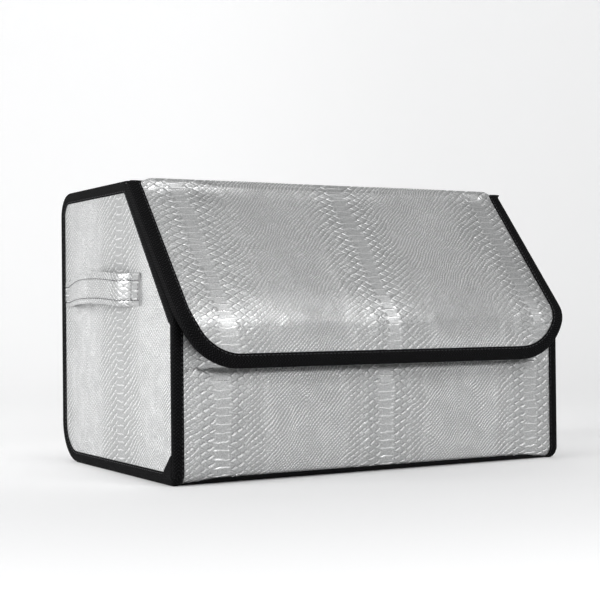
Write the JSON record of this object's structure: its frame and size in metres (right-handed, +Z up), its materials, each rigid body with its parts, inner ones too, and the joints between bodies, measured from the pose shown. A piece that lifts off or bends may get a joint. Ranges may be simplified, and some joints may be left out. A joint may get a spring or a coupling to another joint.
{
  "type": "lipo safe bag",
  "caption": "Stiff-walled silver bag, box-shaped, with taped edges, a sloped lid flap closed by a hook-and-loop lip, and a carry strap on each end.",
  "frame": {"origin": "middle of the base, on the surface that the bag stands on", "axes": "+X along the bag to the right, -Y out of the front under the lid's lip, +Z up"},
  "size_m": [0.4268, 0.2793, 0.258],
  "materials": {
    "silver_leatherette": "metallic silver, scale-embossed, satin",
    "binding_tape": "matt twill-woven tape",
    "base_fabric": "matt plain-woven cloth",
    "foam_padding": "fine open foam",
    "stiffener_board": "grey-brown pressed fibreboard",
    "lining_fabric": "woven glass-fibre cloth, dark, coated",
    "hook_tape": "fine hooks",
    "loop_tape": "brushed loops"
  },
  "bodies": {
    "case": {"back_board": "stiffener_board", "back_liner": "lining_fabric", "back_padding": "foam_padding", "back_skin": "silver_leatherette", "base_board": "stiffener_board", "base_cover": "base_fabric", "base_liner": "lining_fabric", "base_padding": "foam_padding", "front_base_binding": "binding_tape", "front_board": "stiffener_board", "front_hem_binding": "binding_tape", "front_liner": "lining_fabric", "front_padding": "foam_padding", "front_skin": "silver_leatherette", "left_end_binding": "binding_tape", "left_end_board": "stiffener_board", "left_end_liner": "lining_fabric", "left_end_padding": "foam_padding", "left_end_skin": "silver_leatherette", "left_handle_ends": "silver_leatherette", "left_slope_binding": "binding_tape", "loop_patches": "loop_tape", "right_end_binding": "binding_tape", "right_end_board": "stiffener_board", "right_end_liner": "lining_fabric", "right_end_padding": "foam_padding", "right_end_skin": "silver_leatherette", "right_handle_ends": "silver_leatherette", "right_slope_binding": "binding_tape", "top_board": "stiffener_board", "top_liner": "lining_fabric", "top_padding": "foam_padding", "top_skin": "silver_leatherette"},
    "lid": {"lid_binding": "binding_tape", "lid_board": "stiffener_board", "lid_liner": "lining_fabric", "lid_padding": "foam_padding", "lid_skin": "silver_leatherette"},
    "lip": {"lip_binding": "binding_tape", "lip_board": "stiffener_board", "lip_liner": "lining_fabric", "lip_padding": "foam_padding", "lip_skin": "silver_leatherette", "hook_patches": "hook_tape"},
    "left_handle": {"left_handle_strap": "silver_leatherette"},
    "right_handle": {"right_handle_strap": "silver_leatherette"}
  },
  "joints": [
    {"name": "lid_hinge", "type": "hinge", "parent": "case", "child": "lid", "pos_m": [0, -0.046, 0.2583], "axis": [-1, 0, 0], "range_deg": [0, 175]},
    {"name": "lip_bend", "type": "hinge", "parent": "lid", "child": "lip", "pos_m": [0, -0.1448, 0.13629], "axis": [-1, 0, 0], "range_deg": [0, 35]},
    {"name": "left_handle_swing", "type": "hinge", "parent": "case", "child": "left_handle", "pos_m": [-0.2002, 0.0255, 0.1623], "axis": [0, 1, 0], "range_deg": [-25, 25]},
    {"name": "right_handle_swing", "type": "hinge", "parent": "case", "child": "right_handle", "pos_m": [0.2002, 0.0255, 0.1623], "axis": [0, -1, 0], "range_deg": [-25, 25]}
  ]
}
